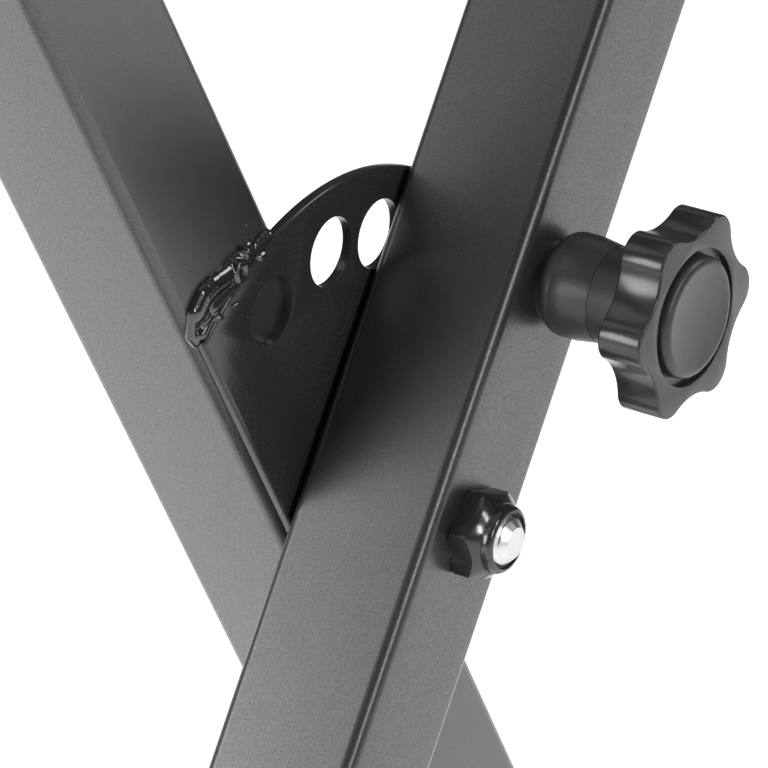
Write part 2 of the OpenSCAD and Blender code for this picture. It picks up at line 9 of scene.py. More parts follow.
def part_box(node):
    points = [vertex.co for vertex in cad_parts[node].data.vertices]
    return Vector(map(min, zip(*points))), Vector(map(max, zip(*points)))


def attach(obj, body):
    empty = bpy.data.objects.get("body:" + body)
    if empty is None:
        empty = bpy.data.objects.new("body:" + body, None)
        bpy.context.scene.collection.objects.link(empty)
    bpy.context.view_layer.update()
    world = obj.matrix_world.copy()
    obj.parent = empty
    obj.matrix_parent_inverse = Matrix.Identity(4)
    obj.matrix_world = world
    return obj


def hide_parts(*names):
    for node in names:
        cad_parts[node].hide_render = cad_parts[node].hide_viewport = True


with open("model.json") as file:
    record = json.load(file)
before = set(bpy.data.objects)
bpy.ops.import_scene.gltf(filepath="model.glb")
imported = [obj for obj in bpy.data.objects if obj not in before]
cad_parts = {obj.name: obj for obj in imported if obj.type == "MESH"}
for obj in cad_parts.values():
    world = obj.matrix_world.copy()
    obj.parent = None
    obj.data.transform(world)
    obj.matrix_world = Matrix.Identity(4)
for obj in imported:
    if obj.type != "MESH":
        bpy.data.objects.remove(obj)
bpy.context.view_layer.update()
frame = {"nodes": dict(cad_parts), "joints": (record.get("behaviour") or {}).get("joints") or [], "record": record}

# Legs. Two lengths of square steel tube cross on one bolt. They are sawn, drilled and
# powder coated black, with a fine grain that breaks up every reflection.
millimetre = 0.001
tube_wall = 1.5 * millimetre
tube_corner_radius = 2.5 * millimetre
corner_segments = 10
bore_segments = 96
cut_margin = 2 * millimetre
lock_radius = 49.7 * millimetre
pin_bore = 5.38 * millimetre
barrel_bore = 7.03 * millimetre
bolt_bore = 5.05 * millimetre
sleeve_bore = 8.05 * millimetre

arm_rest = next(mount for mount in frame["record"]["mounts"] if mount["name"] == "right_arm_front_rest")
lean = math.atan2(arm_rest["axis"][0], arm_rest["axis"][2])
pivot_height = frame["joints"][0]["pos_m"][2]
front_leg_low, front_leg_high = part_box("front_leg_tube")
rear_leg_low, rear_leg_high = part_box("rear_leg_tube")
tube_side = front_leg_high.y - front_leg_low.y
leg_length = (front_leg_high.z - front_leg_low.z - tube_side * math.sin(lean)) / math.cos(lean)
leg_offset = (rear_leg_low.y + rear_leg_high.y) / 2
front_leg_face = front_leg_low.y
rear_leg_face = rear_leg_low.y
z_to_front = Matrix.Rotation(math.pi / 2, 4, "X")


def pick(*pieces):
    """Selects these pieces alone, with the last of them active."""
    bpy.ops.object.select_all(action="DESELECT")
    for piece in pieces:
        piece.select_set(True)
        bpy.context.view_layer.objects.active = piece


def edit(piece, mode, wanted):
    """Opens a piece in edit mode with its wanted vertices, edges or faces selected."""
    pick(piece)
    points, edges, faces = piece.data.vertices, piece.data.edges, piece.data.polygons
    for elements in (points, edges, faces):
        for element in elements:
            element.select = False
    if mode == "VERT":
        for point in points:
            point.select = wanted(point.co)
    elif mode == "EDGE":
        for edge in edges:
            edge.select = wanted(*(points[number].co for number in edge.vertices))
    else:
        for face in faces:
            face.select = wanted(face.center, face.normal)
    bpy.ops.object.mode_set(mode="EDIT")
    bpy.ops.mesh.select_mode(type=mode)


def close_edit():
    bpy.ops.object.mode_set(mode="OBJECT")


def modify(piece, kind, **settings):
    """Adds a modifier to a piece with these settings and applies it."""
    pick(piece)
    modifier = piece.modifiers.new(kind.title(), kind)
    for setting, value in settings.items():
        setattr(modifier, setting, value)
    bpy.ops.object.modifier_apply(modifier=modifier.name)


def settle(piece, place=Matrix.Identity(4)):
    """Moves a piece to its place and leaves its object at the origin."""
    pick(piece)
    piece.matrix_world = place @ piece.matrix_world
    bpy.ops.object.transform_apply(location=True, rotation=True, scale=True)


def smooth(piece, degrees=35):
    """Shades a piece smooth but for edges sharper than this."""
    pick(piece)
    bpy.ops.object.shade_smooth_by_angle(angle=math.radians(degrees))


def cut(piece, tool, operation="DIFFERENCE"):
    """Cuts a piece with a tool, or joins or intersects them, and takes the tool away."""
    modify(piece, "BOOLEAN", operation=operation, solver="EXACT", object=tool)
    bpy.data.objects.remove(tool)


def cylinder(name, radius, low, high, sides=bore_segments):
    """A cylinder about Z between two heights."""
    pick()
    bpy.ops.mesh.primitive_cylinder_add(vertices=sides, radius=radius, depth=high - low,
                                        location=(0, 0, (low + high) / 2))
    made = bpy.context.object
    made.name = name
    settle(made)
    return made


def drill(piece, radius, low, high, place=Matrix.Identity(4), sides=bore_segments):
    """Drills a piece between two heights about the Z axis of a place."""
    bit = cylinder("drill", radius, low, high, sides)
    settle(bit, place)
    cut(piece, bit)


def rounded_block(name, width, depth, corner_radius, low, high):
    """A block about Z between two heights, with its four long edges rounded."""
    low_corner = Vector((-width / 2, -depth / 2, low))
    high_corner = Vector((width / 2, depth / 2, high))
    pick()
    bpy.ops.mesh.primitive_cube_add(size=1, location=(low_corner + high_corner) / 2,
                                    scale=high_corner - low_corner)
    made = bpy.context.object
    made.name = name
    settle(made)
    edit(made, "EDGE", lambda a, b: abs(a.z - b.z) > (high - low) / 2)
    bpy.ops.mesh.bevel(offset=corner_radius, segments=corner_segments, affect="EDGES")
    close_edit()
    return made


def square_tube(name, length):
    """A length of the square tube about Z, open at both ends."""
    tube = rounded_block(name, tube_side, tube_side, tube_corner_radius, -length / 2, length / 2)
    edit(tube, "FACE", lambda centre, normal: abs(normal.z) > 0.9)
    bpy.ops.mesh.delete(type="ONLY_FACE")
    close_edit()
    modify(tube, "SOLIDIFY", thickness=tube_wall, offset=-1, use_even_offset=True)
    return tube


def leg_frame(side):
    """Z along the leg from the pivot; side is 1 for the front leg and -1 for the rear one."""
    return Matrix.Translation((0, 0, pivot_height)) @ Matrix.Rotation(side * lean, 4, "Y")


class Wire:
    """An output socket of a material's node. Arithmetic on it adds Math nodes."""

    def __init__(self, finish, socket):
        self.finish, self.socket = finish, socket

    def maths(self, operation, *values):
        return self.finish.node("Math", {"operation": operation}, dict(enumerate(values)))

    def __add__(self, other):
        return self.maths("ADD", self, other)

    def __mul__(self, other):
        return self.maths("MULTIPLY", self, other)

    __radd__, __rmul__ = __add__, __mul__


class Finish:
    """A material that is wired node by node around its shader."""

    def __init__(self, name, **constants):
        self.material = bpy.data.materials.new(name)
        self.material.use_nodes = True
        self.tree = self.material.node_tree
        self.shader = self.tree.nodes["Principled BSDF"]
        for socket, value in constants.items():
            self.shader.inputs[socket.replace("_", " ")].default_value = value

    def node(self, kind, settings=None, inputs=None, output=0):
        """Adds a node with its settings, its inputs' values or wires, and gives one output."""
        made = self.tree.nodes.new("ShaderNode" + kind)
        for setting, value in (settings or {}).items():
            if setting == "stops":
                while len(made.color_ramp.elements) < len(value):
                    made.color_ramp.elements.new(1)
                for element, (position, level) in zip(made.color_ramp.elements, value):
                    element.position, element.color = position, (level, level, level, 1)
            else:
                setattr(made, setting, value)
        for socket, value in (inputs or {}).items():
            self.join(value, made.inputs[socket])
        return Wire(self, made.outputs[output])

    def join(self, value, socket):
        """Links a wire to a socket, or sets the socket to a value."""
        if isinstance(value, Wire):
            self.tree.links.new(value.socket, socket)
        else:
            socket.default_value = value

    def feed(self, socket, value):
        """Joins a value or wire to a socket of the shader."""
        self.join(value, self.shader.inputs[socket])

    def place(self):
        """Object coordinates in metres."""
        return self.node("TexCoord", output="Object")

    def noise(self, grain, detail=2, roughness=0.5):
        """Cloudy noise from 0 to 1, whose lumps are about one grain wide."""
        return self.node("TexNoise", inputs={"Vector": self.place(), "Scale": 1 / grain,
                                             "Detail": detail, "Roughness": roughness})

    def ramp(self, value, *stops):
        """Greys between stops of (value, level)."""
        return self.node("ValToRGB", {"stops": stops}, {"Fac": value})

    def tint(self, share, first, second):
        """A colour between two, by share."""
        return self.node("Mix", {"data_type": "RGBA"}, {"Factor": share, 6: first, 7: second}, output=2)

    def bump(self, height, depth, under=None):
        """A normal for a height from 0 to 1 that stands for this depth in metres."""
        inputs = {"Height": height, "Distance": depth, "Strength": 1}
        if under:
            inputs["Normal"] = under
        return self.node("Bump", inputs=inputs)


def dress(finish, *pieces):
    """Gives pieces a finish and no other."""
    for piece in pieces:
        piece.data.materials.clear()
        piece.data.materials.append(finish.material)


def enlist(piece, finish, body, node):
    """Dresses a piece, ties it to its body, and hides the node it stands for."""
    dress(finish, piece)
    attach(piece, body)
    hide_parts(node)


powder_coat = Finish("powder_coat", IOR=1.5, Coat_Roughness=0.3)
coat_grain = powder_coat.noise(0.45 * millimetre, detail=3, roughness=0.6)
coat_pits = powder_coat.ramp(powder_coat.noise(0.22 * millimetre, detail=1), (0.3, 0.0), (0.7, 1.0))
coat_cloud = powder_coat.noise(14 * millimetre, detail=3)
coat_colours = (0.017, 0.017, 0.018, 1), (0.03, 0.03, 0.032, 1)
powder_coat.feed("Base Color", powder_coat.tint(coat_cloud, *coat_colours))
powder_coat.feed("Roughness", 0.27 + 0.08 * coat_grain + 0.05 * coat_cloud)
powder_coat.feed("Coat Weight", coat_pits)
powder_coat.feed("Normal", powder_coat.bump(coat_grain, 0.012 * millimetre))

front_leg = square_tube("front_leg", leg_length)
settle(front_leg, Matrix.Translation((0, -leg_offset, 0)))
for radius, up_leg, front_y, back_y in (
        (bolt_bore, 0, front_leg_face - cut_margin, front_leg_high.y + cut_margin),
        (barrel_bore, lock_radius, front_leg_face - cut_margin, -leg_offset),
        (pin_bore, lock_radius, -leg_offset, front_leg_high.y + cut_margin)):
    drill(front_leg, radius, -back_y, -front_y, Matrix.Translation((0, 0, up_leg)) @ z_to_front)
smooth(front_leg)
settle(front_leg, leg_frame(1))
enlist(front_leg, powder_coat, "front_leg", "front_leg_tube")

rear_leg = square_tube("rear_leg", leg_length)
settle(rear_leg, Matrix.Translation((0, leg_offset, 0)))
drill(rear_leg, sleeve_bore, -rear_leg_high.y - cut_margin, cut_margin - rear_leg_face, z_to_front)
smooth(rear_leg)
settle(rear_leg, leg_frame(-1))
enlist(rear_leg, powder_coat, "rear_leg", "rear_leg_tube")

# Crossbars. Two upper arms and two floor bars of the same square tube, each drilled on
# one side for the two screws that hold it to its leg's flange, and coated with the legs.
flange_thickness = 3 * millimetre
screw_place = 42.925 * millimetre
screw_bore = 4.3 * millimetre
screw_segments = 48
leg_end = leg_length / 2
bar_place = leg_end + flange_thickness + tube_side / 2
arm_low, arm_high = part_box("right_arm_tube")
foot_low, foot_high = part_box("left_foot_tube")
arm_length = arm_high.y - arm_low.y
foot_length = foot_high.y - foot_low.y
bars = (("right_arm", "front_leg", 1, arm_length), ("left_foot", "front_leg", -1, foot_length),
        ("left_arm", "rear_leg", 1, arm_length), ("right_foot", "rear_leg", -1, foot_length))
leg_sides = {"front_leg": 1, "rear_leg": -1}
screw_places = [Matrix.Translation((0, across, 0)) for across in (-screw_place, screw_place)]


def end_frame(leg, end):
    """Z outwards along a leg; end is 1 for its upper end and -1 for its lower one."""
    return leg_frame(leg_sides[leg]) @ Matrix.Rotation(0 if end > 0 else math.pi, 4, "X")


for name, leg, end, length in bars:
    bar = square_tube(name, length)
    settle(bar, Matrix.Translation((0, 0, bar_place)) @ z_to_front)
    for place in screw_places:
        drill(bar, screw_bore, leg_end, bar_place, place, screw_segments)
    smooth(bar)
    settle(bar, end_frame(leg, end))
    enlist(bar, powder_coat, leg, name + "_tube")

# End caps. Moulded rubber boots pushed over the bars' ends, with a rounded closed end and
# three shallow grooves behind the mouth. The stand rests on those of the floor bars.
cap_wall = 3 * millimetre
cap_cover = 37 * millimetre
cap_end = 5 * millimetre
cap_corner_radius = 6 * millimetre
cap_round = 3.5 * millimetre
cap_mouth_round = 0.3 * millimetre
cap_steps = 35
cap_grooves = (5, 8, 11)
cap_groove_depth = 0.45 * millimetre
rubber_fit = 0.1 * millimetre


def soften(piece, width, segments=3, degrees=35):
    """Rounds the sharp edges of a piece and shades it smooth between them."""
    modify(piece, "BEVEL", width=width, segments=segments, limit_method="ANGLE",
           angle_limit=math.radians(degrees), use_clamp_overlap=True, harden_normals=False)
    smooth(piece, degrees)


def sink_rings(piece, low, high, steps, depth, wanted):
    """Cuts the edges that run from low to high into steps and sinks the wanted rings."""
    edit(piece, "EDGE", lambda a, b: abs(a.z - b.z) > 0.9 * (high - low))
    bpy.ops.mesh.subdivide(number_cuts=steps - 1)
    close_edit()
    rings = [low + (high - low) * ring / steps for ring in range(1, steps) if wanted(ring)]
    near = 0.1 * (high - low) / steps
    edit(piece, "VERT", lambda point: any(abs(point.z - ring) < near for ring in rings))
    bpy.ops.transform.shrink_fatten(value=-depth)
    close_edit()


def set_out(pattern, name, places):
    """Copies a pattern to each place and joins the copies into one piece."""
    copies = []
    for place in places:
        pick(pattern)
        bpy.ops.object.duplicate()
        copies.append(bpy.context.object)
        settle(copies[-1], place)
    pick(*copies)
    bpy.ops.object.join()
    joined = bpy.context.object
    joined.name = name
    return joined


def bar_halves(leg, end):
    """Frames at a bar's middle, Z outwards along each half of it."""
    middle = end_frame(leg, end) @ Matrix.Translation((0, 0, bar_place))
    return [middle @ Matrix.Rotation(turn, 4, "X") for turn in (math.pi / 2, -math.pi / 2)]


def grey(level):
    return (level, level, level, 1)


cap_side = tube_side + 2 * cap_wall
cap_bore = tube_side + rubber_fit
cap = rounded_block("cap", cap_side, cap_side, cap_corner_radius, 0, cap_cover + cap_end)
edit(cap, "EDGE", lambda a, b: min(a.z, b.z) > cap_cover)
bpy.ops.mesh.bevel(offset=cap_round, segments=6, affect="EDGES")
close_edit()
sink_rings(cap, 0, cap_cover + cap_end - cap_round, cap_steps, cap_groove_depth,
           lambda ring: ring in cap_grooves)
cut(cap, rounded_block("core", cap_bore, cap_bore, tube_corner_radius, -cut_margin, cap_cover))
soften(cap, cap_mouth_round, segments=2, degrees=50)

rubber = Finish("rubber", IOR=1.5)
rubber_grain = rubber.noise(0.5 * millimetre, detail=3, roughness=0.6)
rubber_cloud = rubber.noise(18 * millimetre, detail=3)
rubber.feed("Base Color", rubber.tint(rubber_cloud, grey(0.014), (0.026, 0.026, 0.027, 1)))
rubber.feed("Roughness", 0.55 + 0.15 * rubber_grain + 0.1 * rubber_cloud)
rubber.feed("Normal", rubber.bump(rubber_grain, 0.03 * millimetre))

for name, leg, end, length in bars:
    from_middle = Matrix.Translation((0, 0, length / 2 - cap_cover))
    caps = set_out(cap, name + "_ends", [half @ from_middle for half in bar_halves(leg, end)])
    enlist(caps, rubber, leg, name + "_caps")
bpy.data.objects.remove(cap)

# Grips. Extruded rubber sleeves stretched over the upper arms where the keyboard lies,
# with fine ribs all round so that it does not slip.
grip_wall = 2 * millimetre
grip_from = 58.425 * millimetre
grip_to = 127 * millimetre
grip_steps = 62
grip_plain_steps = 3
grip_rib_depth = 0.4 * millimetre

grip_side = tube_side + 2 * grip_wall
grip = rounded_block("grip", grip_side, grip_side, tube_corner_radius + grip_wall, grip_from, grip_to)
sink_rings(grip, grip_from, grip_to, grip_steps, grip_rib_depth,
           lambda ring: ring % 2 == 1 and grip_plain_steps < ring < grip_steps - grip_plain_steps)
cut(grip, rounded_block("core", cap_bore, cap_bore, tube_corner_radius, 0, 2 * grip_to))
smooth(grip, 50)
for name, leg, end, length in bars:
    if end > 0:
        grips = set_out(grip, name + "_sleeves", bar_halves(leg, end))
        enlist(grips, rubber, leg, name + "_grips")
bpy.data.objects.remove(grip)

# Flanges. Steel plates with rounded corners across the legs' four ends, drilled for two
# screws each, welded on and coated with the legs.
flange_half_length = 52.425 * millimetre
flange_corner_radius = 5 * millimetre
flange_round = 0.35 * millimetre

flange = rounded_block("flange", tube_side, 2 * flange_half_length, flange_corner_radius,
                       leg_end, leg_end + flange_thickness)
for place in screw_places:
    drill(flange, screw_bore, leg_end - cut_margin, leg_end + 2 * flange_thickness, place, screw_segments)
soften(flange, flange_round)
for leg in leg_sides:
    flanges = set_out(flange, leg + "_end_plates", [end_frame(leg, end) for end in (1, -1)])
    enlist(flanges, powder_coat, leg, leg + "_flanges")
bpy.data.objects.remove(flange)

# Flange welds. Rippled fillet beads laid by hand along two sides of each leg's ends,
# glossy under the coat that filled their ripples.
bead_leg = 2.4 * millimetre
bead_half_length = 12.5 * millimetre
bead_pitch = 1.15 * millimetre
bead_ripples = 10
bead_size_shares = (0.88, 0.95)
bead_lap_share = 0.95
bead_voxel = 0.25 * millimetre


def melted(name, lumps, voxel, melts=4):
    """Melts lumps of metal, each with its place and its half sizes, into one skin."""
    made = []
    for place, halves in lumps:
        pick()
        bpy.ops.mesh.primitive_ico_sphere_add(subdivisions=3, radius=1, location=place, scale=halves)
        made.append(bpy.context.object)
    pick(*made)
    bpy.ops.object.join()
    skin = bpy.context.object
    skin.name = name
    settle(skin)
    modify(skin, "REMESH", mode="VOXEL", voxel_size=voxel)
    modify(skin, "SMOOTH", factor=0.5, iterations=melts)
    return skin


def trim(piece, place, away):
    """Takes off what lies beyond a plane and closes the cut."""
    edit(piece, "FACE", lambda centre, normal: True)
    bpy.ops.mesh.bisect(plane_co=place, plane_no=away, use_fill=True, clear_outer=True)
    close_edit()


random.seed(4)
bead_lumps = []
for ripple in range(-bead_ripples, bead_ripples + 1):
    size = bead_leg * random.uniform(*bead_size_shares)
    bead_lumps.append(((ripple * bead_pitch, 0, 0), (bead_pitch * bead_lap_share, size, size)))
bead = melted("bead", bead_lumps, bead_voxel)
for place, away in (((0, 0, 0), (0, -1, 0)), ((0, 0, 0), (0, 0, 1)),
                    ((bead_half_length, 0, 0), (1, 0, 0)), ((-bead_half_length, 0, 0), (-1, 0, 0))):
    trim(bead, place, away)
smooth(bead, 60)

weld_paint = Finish("weld_paint", IOR=1.75)
weld_grain = weld_paint.noise(0.8 * millimetre, detail=3)
weld_paint.feed("Base Color", weld_paint.tint(weld_grain, grey(0.01), (0.022, 0.021, 0.020, 1)))
weld_paint.feed("Roughness", 0.10 + 0.08 * weld_grain)
weld_paint.feed("Normal", weld_paint.bump(weld_grain, 0.008 * millimetre))

for leg, side in leg_sides.items():
    leg_middle = leg_frame(side) @ Matrix.Translation((0, -side * leg_offset, 0))
    corner = Matrix.Translation((0, tube_side / 2, leg_end))
    places = [leg_middle @ Matrix.Rotation(across, 4, "Z") @ Matrix.Rotation(end, 4, "Y") @ corner
              for across in (0, math.pi) for end in (0, math.pi)]
    beads = set_out(bead, leg + "_end_beads", places)
    enlist(beads, weld_paint, leg, leg.split("_")[0] + "_flange_welds")
bpy.data.objects.remove(bead)

# Bar screws. Eight zinc plated hexagon screws, each with a flat washer under its head,
# that hold the bars to the flanges. Their nuts sit inside the bars.
screw_radius = 4 * millimetre
screw_across = 13 * millimetre
screw_head = 5.3 * millimetre
screw_length = 16 * millimetre
screw_chamfer = 0.8 * millimetre
screw_washer_radius = 8 * millimetre
screw_washer_thickness = 1.6 * millimetre
screw_washer_bore = 4.05 * millimetre
hardware_round = 0.15 * millimetre
join_depth = 1 * millimetre
same_place = 0.001 * millimetre
hexagon_flat_share = 0.475
hexagon_turned_share = 0.045
hair = 0.01 * millimetre


def turned(name, outline, sides=bore_segments):
    """Turns an outline of (radius, height) points about Z."""
    pick()
    bpy.ops.mesh.primitive_plane_add(size=millimetre, location=(0, 0, 0))
    made = bpy.context.object
    made.name = name
    bpy.ops.object.mode_set(mode="EDIT")
    bpy.ops.mesh.select_mode(type="VERT")
    bpy.ops.mesh.select_all(action="SELECT")
    bpy.ops.mesh.merge(type="CENTER")
    bpy.ops.transform.translate(value=(outline[0][0], 0, outline[0][1]))
    for (radius, height), (next_radius, next_height) in zip(outline, outline[1:]):
        step = (next_radius - radius, 0, next_height - height)
        bpy.ops.mesh.extrude_vertices_move(TRANSFORM_OT_translate={"value": step})
    bpy.ops.mesh.select_all(action="SELECT")
    bpy.ops.mesh.spin(steps=sides, angle=2 * math.pi, center=(0, 0, 0), axis=(0, 0, 1))
    bpy.ops.mesh.select_all(action="SELECT")
    bpy.ops.mesh.remove_doubles(threshold=same_place)
    bpy.ops.mesh.normals_make_consistent(inside=False)
    close_edit()
    return made


def flat_ring(name, bore, radius, low, high):
    """A flat ring about Z."""
    return turned(name, [(bore, low), (radius, low), (radius, high), (bore, high), (bore, low)])


def corner_reach(across):
    """From a hexagon's middle to its corner, by its width across flats."""
    return across / 2 / math.cos(math.pi / 6)


def hexagon(name, across, low, high, turn=0, base_turned=0):
    """A hexagon about Z, its corners turned back at the upper end, and at the base where asked."""
    made = cylinder(name, corner_reach(across), low, high, 6)
    settle(made, Matrix.Rotation(math.radians(30 + turn), 4, "Z"))
    corner = corner_reach(across) + hair
    cut(made, turned("chamfer", [(0, low), (corner - 2 * base_turned, low), (corner, low + base_turned),
                                 (corner, high - hexagon_turned_share * across),
                                 (hexagon_flat_share * across, high), (0, high)]), "INTERSECT")
    return made


def hidden(*names):
    """The solids of inner pieces, which keep their shape and get a finish."""
    return [frame["nodes"][name] for name in names]


zinc = Finish("zinc_plate", Metallic=1)
zinc_cloud = zinc.noise(2.5 * millimetre, detail=4, roughness=0.6)
zinc_grain = zinc.noise(0.25 * millimetre, detail=2)
zinc.feed("Base Color", zinc.tint(zinc_cloud, (0.55, 0.56, 0.57, 1), (0.7, 0.7, 0.69, 1)))
zinc.feed("Roughness", 0.26 + 0.14 * zinc_cloud + 0.06 * zinc_grain)
zinc.feed("Normal", zinc.bump(zinc_grain, 0.008 * millimetre))

under_head = leg_end - screw_washer_thickness
screw_tip = under_head + screw_length
screw = hexagon("screw", screw_across, 0, screw_head)
settle(screw, Matrix.Translation((0, 0, under_head)) @ Matrix.Rotation(math.pi, 4, "X"))
cut(screw, turned("shank", [(0, under_head - join_depth), (screw_radius, under_head - join_depth),
                            (screw_radius, screw_tip - screw_chamfer),
                            (screw_radius - screw_chamfer, screw_tip), (0, screw_tip)],
                  screw_segments), "UNION")
soften(screw, hardware_round, segments=2)
screw_washer = flat_ring("screw_washer", screw_washer_bore, screw_washer_radius, under_head, leg_end)
soften(screw_washer, hardware_round, segments=2)
for leg in leg_sides:
    places = [end_frame(leg, end) @ place for end in (1, -1) for place in screw_places]
    screws = set_out(screw, leg + "_screws", places)
    washers = set_out(screw_washer, leg + "_washers", places)
    enlist(screws, zinc, leg, leg.split("_")[0] + "_bar_screws")
    enlist(washers, zinc, leg, leg.split("_")[0] + "_bar_washers")
bpy.data.objects.remove(screw)
bpy.data.objects.remove(screw_washer)
dress(zinc, *hidden("front_bar_nuts", "rear_bar_nuts"))

# Lock plate. A half-round of 2 mm steel, cut straight along the leg's edge, with rounded
# edges and a ring of six holes, painted gloss black and welded to the rear leg's face.
plate_radius = 62.8 * millimetre
plate_thickness = 2 * millimetre
plate_edge = 13.6 * millimetre
plate_round = 0.65 * millimetre
plate_bore = 5.3 * millimetre
plate_segments = 256
hole_round = 0.22 * millimetre
lock_hole_radius = 6.8 * millimetre
lock_turns = (5, 28.4, 46.9, 64.5, 84.5, 104.5)


def face_frame(side, face_y, up_leg=0):
    """Z out of a leg's face towards the knob side, Y up the leg."""
    return leg_frame(side) @ Matrix.Translation((0, face_y, up_leg)) @ z_to_front


plate_frame = face_frame(-1, rear_leg_face)
lock_plate = cylinder("half_round_plate", plate_radius, 0, plate_thickness, plate_segments)
trim(lock_plate, (-plate_edge, 0, 0), (-1, 0, 0))
edit(lock_plate, "EDGE", lambda a, b: min(a.z, b.z) > plate_thickness / 2)
bpy.ops.mesh.bevel(offset=plate_round, segments=5, affect="EDGES")
close_edit()
for turn in lock_turns:
    place = Matrix.Rotation(math.radians(-turn), 4, "Z") @ Matrix.Translation((0, lock_radius, 0))
    drill(lock_plate, lock_hole_radius, -cut_margin, 2 * plate_thickness, place)
drill(lock_plate, plate_bore, -cut_margin, 2 * plate_thickness)
soften(lock_plate, hole_round)
settle(lock_plate, plate_frame)

plate_paint = Finish("plate_paint", IOR=1.5)
peel = plate_paint.noise(1.6 * millimetre, detail=2)
plate_grain = plate_paint.noise(0.35 * millimetre, detail=2)
plate_colours = (0.015, 0.015, 0.016, 1), (0.04, 0.04, 0.041, 1)
plate_paint.feed("Base Color", plate_paint.tint(plate_grain, *plate_colours))
plate_paint.feed("Roughness", 0.16 + 0.06 * plate_grain)
plate_paint.feed("Normal", plate_paint.bump(plate_grain, 0.006 * millimetre,
                                            plate_paint.bump(peel, 0.01 * millimetre)))
enlist(lock_plate, plate_paint, "rear_leg", "lock_plate")

# Plate welds. Two beads where the plate's round edge crosses the rear leg, laid by hand and
# painted over. The upper one ran into a smooth tongue with a crater and lumps beside it.
weld_voxel = 0.2 * millimetre
weld_root = 0.6 * millimetre
stroke_step_share = 0.4
stroke_size_shares = (0.98, 1.02)
# Half width and height of each stroke, then its path across and up the leg, in millimetres
weld_strokes = (
    (3.4, 1.7, (-9.2, 65.2), (-5, 65.5), (-1, 64.4), (3, 63.6), (6, 62.8)),
    (1.5, 2.0, (-12.2, 62.4), (-8, 63.2), (-4, 63.6), (0, 63.7), (4, 63.4), (8, 62.9), (12, 61.9)),
    (2.7, 2.0, (-10.6, 66.9), (-7.8, 67.6), (-5, 67.0), (-1.6, 65.4), (1, 63.9)),
    (1.6, 2.3, (-7.4, 64.6), (-4.4, 63.9), (-0.6, 62.8)),
    (0.95, 2.4, (1.9, 66.0), (3.4, 64.9), (3.1, 63.1), (1.7, 62.2), (0.4, 63.4), (0.6, 65.2), (1.9, 66.0)),
    (1.9, 1.9, (4.8, 64.6), (6.6, 63.3)),
    (1.0, 2.4, (5.4, 66.0), (5.7, 65.4)),
    (1.4, 2.6, (7.3, 61.6), (8.3, 61.2)),
    (0.9, 2.7, (-8.2, 62.5), (-7.2, 61.8)),
    (0.8, 2.7, (-3.7, 60.8), (-2.6, 60.2)),
    (1.2, 1.0, (-12.4, 66.6), (-14.1, 64.0), (-13.7, 61.6)))
lower_strokes = (
    (2.3, 2.0, (-11.6, 63.2), (-6, 64.8), (0, 65.2), (6, 64.8), (11.6, 63.2)),
    (1.3, 2.35, (-10, 63.4), (-7.4, 65), (-4.6, 64), (-1.6, 65.6), (1.6, 64.2), (4.8, 65.6), (8.8, 63.8)))
# Place across and up the leg and size of each drop, in millimetres
spatter = ((-2.2, 72.6, 0.34), (3.6, 70.1, 0.3), (-7.6, 74.8, 0.32), (9.1, 68.3, 0.34), (1.1, 78.9, 0.3),
           (4.9, 57.2, 0.32), (-1.7, 55.1, 0.3))


def stroke(half_width, top, *path):
    """Lumps of metal laid close together along a path, all in millimetres."""
    lumps = []
    for (across, up), (next_across, next_up) in zip(path, path[1:]):
        reach = math.hypot(next_across - across, next_up - up)
        steps = math.ceil(reach / (stroke_step_share * half_width))
        for step in range(steps + 1):
            share = step / steps
            place = (across + share * (next_across - across), up + share * (next_up - up), 0)
            size = half_width * random.uniform(*stroke_size_shares)
            lumps.append(([where * millimetre for where in place],
                          [half * millimetre for half in (size, size, top)]))
    return lumps


weld_lumps = [lump for path in weld_strokes for lump in stroke(*path)]
for half_width, top, *path in lower_strokes:
    weld_lumps += stroke(half_width, top, *((across, -up) for across, up in path))
for across, up, size in spatter:
    under = plate_thickness if math.hypot(across, up) * millimetre < plate_radius else 0
    weld_lumps.append(((across * millimetre, up * millimetre, under), [size * millimetre] * 3))
plate_welds = melted("plate_welds", weld_lumps, weld_voxel, melts=8)
trim(plate_welds, (0, 0, -weld_root), (0, 0, -1))
smooth(plate_welds, 60)
settle(plate_welds, plate_frame)
enlist(plate_welds, weld_paint, "rear_leg", "plate_weld_beads")

# Pivot. A zinc plated bolt with a domed socket head passes both legs in steel sleeves, with
# a steel washer behind and a plastic one between, and holds a black lock nut in front.
bolt_radius = 5 * millimetre
bolt_head_radius = 8.75 * millimetre
bolt_rim = 1.2 * millimetre
bolt_dome = 4.3 * millimetre
bolt_socket_across = 6 * millimetre
bolt_socket_depth = 3.1 * millimetre
bolt_head_place = -64.7 * millimetre
bolt_end = 9.7 * millimetre
bolt_chamfer = 2 * millimetre
chamfer_steps = 12
thread_pitch = 1.5 * millimetre
thread_depth = 0.8 * millimetre
thread_from = -6 * millimetre
thread_step = 0.125 * millimetre
head_washer_radius = 10.5 * millimetre
head_washer_thickness = 1.6 * millimetre
head_washer_round = 0.2 * millimetre
spacer_radius = 12 * millimetre
spacer_thickness = 1 * millimetre
nut_across = 16 * millimetre
nut_height = 6.2 * millimetre
nut_turn = 16
nut_base_turned = 0.5 * millimetre
nut_round = 0.18 * millimetre
collar_radius = 6.65 * millimetre
collar_height = 2 * millimetre
collar_round = 1.2 * millimetre
nut_bore = 5.05 * millimetre
nut_seat_radius = 5.75 * millimetre
nut_seat_height = 1.4 * millimetre
nut_lip_radius = 5.5 * millimetre
nut_crown_from = 3.3 * millimetre
nut_crown_radius = 6.9 * millimetre
pivot_frame = face_frame(1, front_leg_face)


